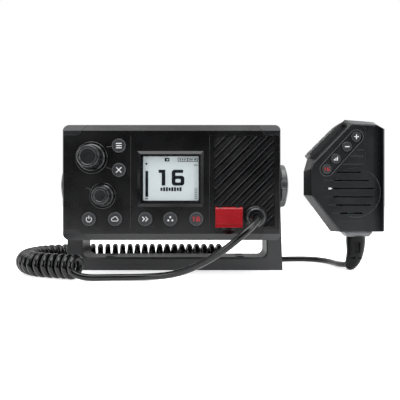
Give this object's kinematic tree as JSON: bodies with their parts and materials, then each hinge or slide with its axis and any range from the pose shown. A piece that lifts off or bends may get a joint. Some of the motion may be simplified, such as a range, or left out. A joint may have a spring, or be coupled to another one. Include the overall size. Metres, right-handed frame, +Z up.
{
  "type": "vhf marine radio",
  "caption": "Fixed-mount VHF marine radio on a tilting U bracket, with rotary knobs, keys, small display, slanted speaker grille and a fist handset on a coiled cord.",
  "frame": {"origin": "centre of the bracket's underside, on the surface it stands on", "axes": "+X to the right seen from the front, +Y towards the back, +Z up; the panel faces -Y"},
  "size_m": [0.3052, 0.1393, 0.125],
  "materials": {
    "bracket_plastic": "fine grained moulded",
    "chassis_metal": "satin black paint on die casting",
    "housing_plastic": "satin",
    "trim_plastic": "satin",
    "black_gloss": "polished",
    "knob_rubber": "satin soft touch",
    "key_rubber": "satin",
    "red_cover": "gloss",
    "steel": "brushed",
    "nickel": "nickel plate",
    "brass": "plain",
    "seal_rubber": "matt",
    "window_glass": "polished",
    "display_panel": "satin",
    "board_green": "solder mask",
    "speaker_paper": "coated paper",
    "cord_rubber": "satin",
    "handset_plastic": "fine grained moulded",
    "collar_plastic": "satin",
    "lever_rubber": "matt"
  },
  "bodies": {
    "bracket_and_handset": {"bracket": "bracket_plastic", "cord_coil_bend": "cord_rubber", "cord_coil_rear": "cord_rubber", "cord_rear_lead": "cord_rubber", "handset_front": "handset_plastic", "handset_rear": "handset_plastic", "handset_collar": "collar_plastic", "handset_boot": "cord_rubber", "ptt_pin": "black_gloss", "ptt_switch": "black_gloss", "handset_board": "board_green", "handset_speaker": "speaker_paper", "hang_stud": "steel"},
    "radio": {"chassis": "chassis_metal", "dash_gasket": "seal_rubber", "front_housing": "housing_plastic", "corner_caps": "trim_plastic", "speaker_grille": "housing_plastic", "speaker_cone": "speaker_paper", "speaker_basket": "steel", "front_board": "board_green", "keypad_mat": "seal_rubber", "radio_board": "board_green", "encoders": "steel", "lcd_frame": "black_gloss", "lcd_window": "window_glass", "lcd_module": "display_panel", "knob_rings": "black_gloss", "distress_hinge_pin": "steel", "antenna_socket": "nickel", "gps_socket": "brass", "network_socket": "black_gloss", "power_gland": "seal_rubber", "mic_socket": "black_gloss", "mic_plug": "black_gloss", "mic_boot": "cord_rubber", "gimbal_studs": "steel", "gimbal_washers": "seal_rubber", "cord_front_lead": "cord_rubber"},
    "gimbal_knob_left": {"gimbal_knob_left": "bracket_plastic"},
    "gimbal_knob_right": {"gimbal_knob_right": "bracket_plastic"},
    "channel_shaft": {"channel_shaft": "steel"},
    "channel_knob": {"channel_knob": "knob_rubber"},
    "volume_shaft": {"volume_shaft": "steel"},
    "volume_knob": {"volume_knob": "knob_rubber"},
    "distress_cover": {"distress_cover": "red_cover"},
    "distress_button": {"distress_button": "red_cover"},
    "mic_coupling": {"mic_coupling": "knob_rubber"},
    "ptt_lever": {"ptt_lever": "lever_rubber"},
    "key_menu": {"key_menu": "key_rubber"},
    "key_cancel": {"key_cancel": "key_rubber"},
    "key_power": {"key_power": "key_rubber"},
    "key_weather": {"key_weather": "key_rubber"},
    "key_scan": {"key_scan": "key_rubber"},
    "key_watch": {"key_watch": "key_rubber"},
    "key_16": {"key_16": "key_rubber"},
    "handset_key_up": {"handset_key_up": "key_rubber"},
    "handset_key_down": {"handset_key_down": "key_rubber"},
    "handset_key_power": {"handset_key_power": "key_rubber"},
    "handset_key_16": {"handset_key_16": "key_rubber"}
  },
  "joints": [
    {"name": "tilt", "type": "hinge", "parent": "bracket_and_handset", "child": "radio", "pos_m": [0, 0, 0.0707], "axis": [-1, 0, 0], "range_deg": [-8, 30], "deforming": ["cord_front_lead"]},
    {"name": "gimbal_knob_left_turn", "type": "hinge", "parent": "radio", "child": "gimbal_knob_left", "pos_m": [-0.09, 0, 0.0707], "axis": [1, 0, 0], "continuous": true},
    {"name": "gimbal_knob_right_turn", "type": "hinge", "parent": "radio", "child": "gimbal_knob_right", "pos_m": [0.09, 0, 0.0707], "axis": [1, 0, 0], "continuous": true},
    {"name": "channel_push", "type": "slide", "parent": "radio", "child": "channel_shaft", "axis": [0, 1, 0], "range_m": [0, 0.0006], "stiffness_N_per_m": 1500, "springref_m": -0.001},
    {"name": "channel_turn", "type": "hinge", "parent": "channel_shaft", "child": "channel_knob", "pos_m": [-0.0598, -0.0555, 0.0903], "axis": [0, 1, 0], "continuous": true},
    {"name": "volume_push", "type": "slide", "parent": "radio", "child": "volume_shaft", "axis": [0, 1, 0], "range_m": [0, 0.0006], "stiffness_N_per_m": 1500, "springref_m": -0.001},
    {"name": "volume_turn", "type": "hinge", "parent": "volume_shaft", "child": "volume_knob", "pos_m": [-0.0515, -0.0555, 0.0619], "axis": [0, 1, 0], "range_deg": [-60, 230]},
    {"name": "key_menu_press", "type": "slide", "parent": "radio", "child": "key_menu", "axis": [0, 1, 0], "range_m": [0, 0.0008], "stiffness_N_per_m": 1500, "springref_m": -0.001},
    {"name": "key_cancel_press", "type": "slide", "parent": "radio", "child": "key_cancel", "axis": [0, 1, 0], "range_m": [0, 0.0008], "stiffness_N_per_m": 1500, "springref_m": -0.001},
    {"name": "key_power_press", "type": "slide", "parent": "radio", "child": "key_power", "axis": [0, 1, 0], "range_m": [0, 0.0008], "stiffness_N_per_m": 1500, "springref_m": -0.001},
    {"name": "key_weather_press", "type": "slide", "parent": "radio", "child": "key_weather", "axis": [0, 1, 0], "range_m": [0, 0.0008], "stiffness_N_per_m": 1500, "springref_m": -0.001},
    {"name": "key_scan_press", "type": "slide", "parent": "radio", "child": "key_scan", "axis": [0, 1, 0], "range_m": [0, 0.0008], "stiffness_N_per_m": 1500, "springref_m": -0.001},
    {"name": "key_watch_press", "type": "slide", "parent": "radio", "child": "key_watch", "axis": [0, 1, 0], "range_m": [0, 0.0008], "stiffness_N_per_m": 1500, "springref_m": -0.001},
    {"name": "key_16_press", "type": "slide", "parent": "radio", "child": "key_16", "axis": [0, 1, 0], "range_m": [0, 0.0008], "stiffness_N_per_m": 1500, "springref_m": -0.001},
    {"name": "distress_cover_open", "type": "hinge", "parent": "radio", "child": "distress_cover", "pos_m": [0.0429, -0.0571, 0.05215], "axis": [-1, 0, 0], "range_deg": [0, 100], "stiffness_Nm_per_rad": 0.002, "springref_deg": -11.46},
    {"name": "distress_press", "type": "slide", "parent": "radio", "child": "distress_button", "axis": [0, 1, 0], "range_m": [0, 0.001], "stiffness_N_per_m": 1500, "springref_m": -0.001},
    {"name": "mic_coupling_turn", "type": "hinge", "parent": "radio", "child": "mic_coupling", "pos_m": [0.0626, -0.0555, 0.04595], "axis": [0, 1, 0], "continuous": true},
    {"name": "ptt_press", "type": "hinge", "parent": "bracket_and_handset", "child": "ptt_lever", "pos_m": [0.13698, -0.0195, 0.11885], "axis": [0, -1, 0], "range_deg": [0, 4], "stiffness_Nm_per_rad": 0.9, "springref_deg": -2.86},
    {"name": "handset_key_up_press", "type": "slide", "parent": "bracket_and_handset", "child": "handset_key_up", "axis": [0, 1, 0], "range_m": [0, 0.0007], "stiffness_N_per_m": 1500, "springref_m": -0.001},
    {"name": "handset_key_down_press", "type": "slide", "parent": "bracket_and_handset", "child": "handset_key_down", "axis": [0, 1, 0], "range_m": [0, 0.0007], "stiffness_N_per_m": 1500, "springref_m": -0.001},
    {"name": "handset_key_power_press", "type": "slide", "parent": "bracket_and_handset", "child": "handset_key_power", "axis": [0, 1, 0], "range_m": [0, 0.0007], "stiffness_N_per_m": 1500, "springref_m": -0.001},
    {"name": "handset_key_16_press", "type": "slide", "parent": "bracket_and_handset", "child": "handset_key_16", "axis": [0, 1, 0], "range_m": [0, 0.0007], "stiffness_N_per_m": 1500, "springref_m": -0.001}
  ]
}
